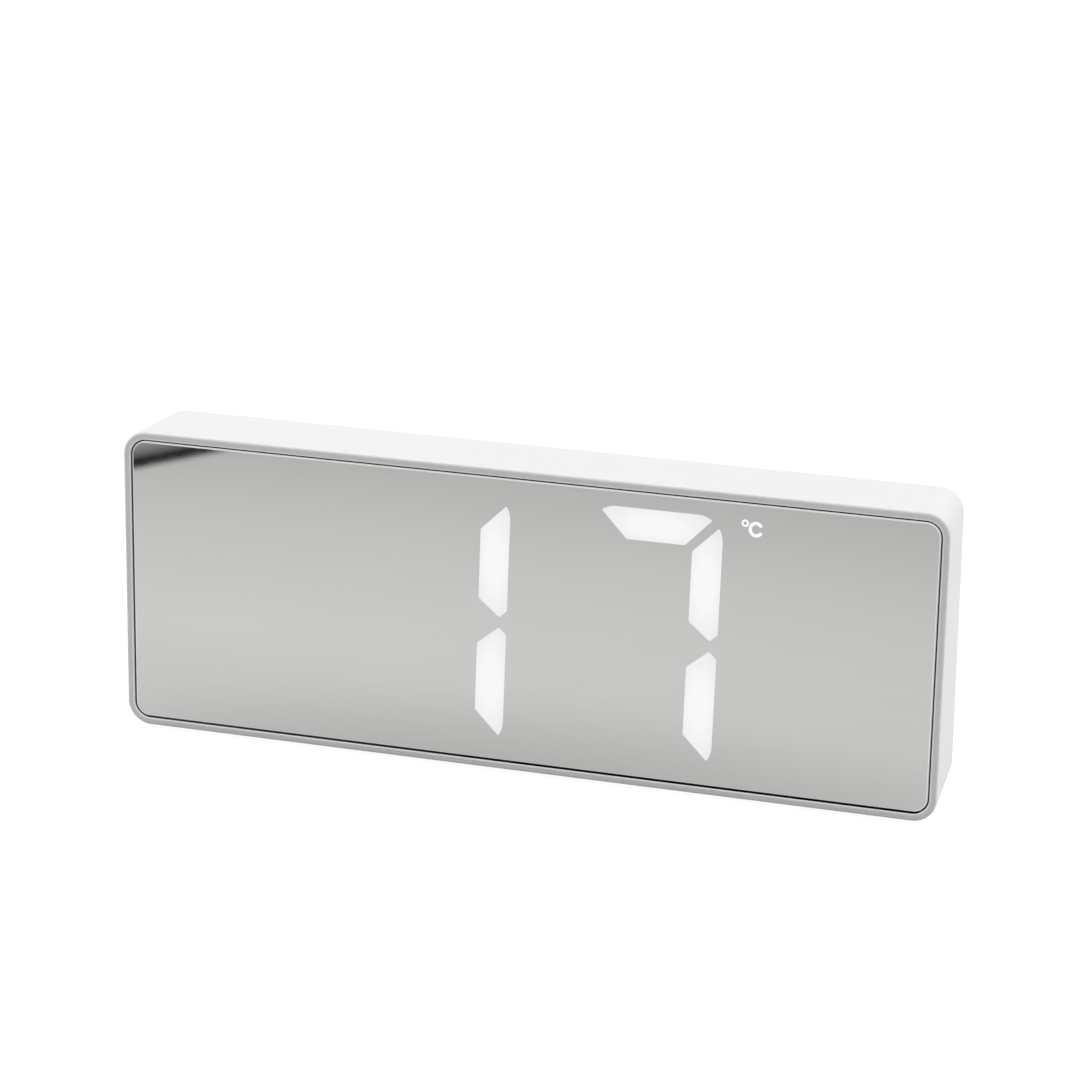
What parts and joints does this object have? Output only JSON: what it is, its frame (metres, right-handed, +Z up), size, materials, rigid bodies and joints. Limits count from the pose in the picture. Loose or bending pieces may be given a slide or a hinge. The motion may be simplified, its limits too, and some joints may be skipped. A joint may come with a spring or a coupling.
{
  "type": "digital desk clock",
  "caption": "Slim digital LED desk clock: a white rounded case with a mirrored face, display stack, rear push buttons, power inlet and battery bay with a tilting door.",
  "frame": {"origin": "on the table under the middle of the clock, at the underside of the pads", "axes": "+X to the right seen from the front, +Y from the mirrored face to the back, +Z up"},
  "size_m": [0.163, 0.023, 0.061],
  "materials": {
    "shell_white": "fine satin, moulded",
    "mirror_face": "half-silvered, polished",
    "tape_black": "foam tape",
    "diffuser_white": "frosted film",
    "reflector_white": "moulded",
    "board_green": "solder resist",
    "led_yellow": "phosphor window",
    "chip_black": "moulded",
    "can_steel": "drawn can",
    "capacitor_sleeve": "shrink sleeve",
    "sensor_bead": "dipped",
    "sounder_black": "moulded",
    "switch_black": "moulded",
    "plunger_black": "moulded",
    "button_grey": "fine satin, moulded",
    "cover_white": "spark-eroded texture",
    "door_white": "spark-eroded texture",
    "cell_jacket": "printed sleeve, plain",
    "contact_nickel": "nickel plated",
    "lead_insulation": "insulated wire",
    "inlet_steel": "plated sheet",
    "tongue_black": "moulded",
    "screw_steel": "zinc plated",
    "pad_rubber": "matt"
  },
  "bodies": {
    "case": {"battery_cells": "cell_jacket", "battery_leads": "lead_insulation", "board_screws": "screw_steel", "capacitors": "capacitor_sleeve", "contact_plates": "contact_nickel", "contact_springs": "contact_nickel", "control_chip": "chip_black", "cover_screws": "screw_steel", "diffuser_film": "diffuser_white", "driver_chips": "chip_black", "foot_pads": "pad_rubber", "front_shell": "shell_white", "inlet_board": "board_green", "inlet_leads": "lead_insulation", "inlet_socket": "inlet_steel", "inlet_tongue": "tongue_black", "led_board": "board_green", "mirror_panel": "mirror_face", "panel_tape": "tape_black", "push_switches": "switch_black", "rear_cover": "cover_white", "reflector_block": "reflector_white", "segment_leds": "led_yellow", "sounder": "sounder_black", "temperature_sensor": "sensor_bead", "watch_crystal": "can_steel"},
    "battery_door": {"battery_door": "door_white"},
    "mode_button": {"button_mode": "button_grey", "plunger_mode": "plunger_black"},
    "set_button": {"button_set": "button_grey", "plunger_set": "plunger_black"},
    "up_button": {"button_up": "button_grey", "plunger_up": "plunger_black"},
    "down_button": {"button_down": "button_grey", "plunger_down": "plunger_black"}
  },
  "joints": [
    {"name": "battery_door_tilt", "type": "hinge", "parent": "case", "child": "battery_door", "pos_m": [0, 0.01007, 0.00633], "axis": [-1, 0, 0], "range_deg": [0, 90]},
    {"name": "mode_press", "type": "slide", "parent": "case", "child": "mode_button", "axis": [0, -1, 0], "range_m": [0, 0.0005], "stiffness_N_per_m": 1200},
    {"name": "set_press", "type": "slide", "parent": "case", "child": "set_button", "axis": [0, -1, 0], "range_m": [0, 0.0005], "stiffness_N_per_m": 1200},
    {"name": "up_press", "type": "slide", "parent": "case", "child": "up_button", "axis": [0, -1, 0], "range_m": [0, 0.0005], "stiffness_N_per_m": 1200},
    {"name": "down_press", "type": "slide", "parent": "case", "child": "down_button", "axis": [0, -1, 0], "range_m": [0, 0.0005], "stiffness_N_per_m": 1200}
  ]
}
